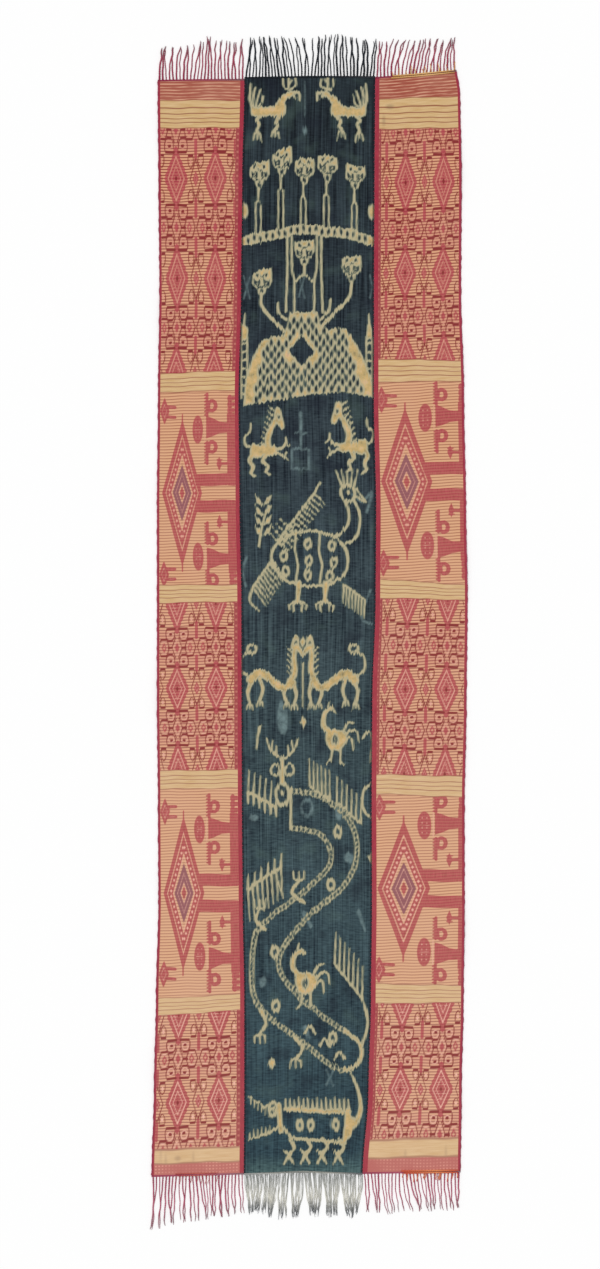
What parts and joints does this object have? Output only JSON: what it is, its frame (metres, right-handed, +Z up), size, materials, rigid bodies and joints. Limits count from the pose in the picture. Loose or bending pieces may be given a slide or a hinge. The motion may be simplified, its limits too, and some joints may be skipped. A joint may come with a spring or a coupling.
{
  "type": "ikat shoulder cloth",
  "caption": "Long ceremonial shoulder cloth lying flat: an indigo warp ikat panel between two crimson and cream patterned panels, with a fringe at each end.",
  "frame": {"origin": "middle of the cloth's outline, on the surface that it lies on", "axes": "+Y along the warp to the top end, +X to the right across the panels, +Z up from the surface"},
  "size_m": [0.6348, 2.391, 0.0039],
  "materials": {
    "crimson_weave": "handwoven cotton with raised pattern floats",
    "indigo_ikat": "warp ikat cotton, matt",
    "crimson_yarn": "twisted cotton yarn",
    "indigo_yarn": "twisted cotton yarn",
    "faded_yarn": "loose cotton threads"
  },
  "bodies": {
    "root": {"left_panel": "crimson_weave", "centre_panel": "indigo_ikat", "right_panel": "crimson_weave", "top_left_fringe": "crimson_yarn", "top_centre_fringe": "indigo_yarn", "top_right_fringe": "crimson_yarn", "bottom_left_fringe": "crimson_yarn", "bottom_centre_fringe": "faded_yarn", "bottom_right_fringe": "crimson_yarn"}
  },
  "joints": []
}
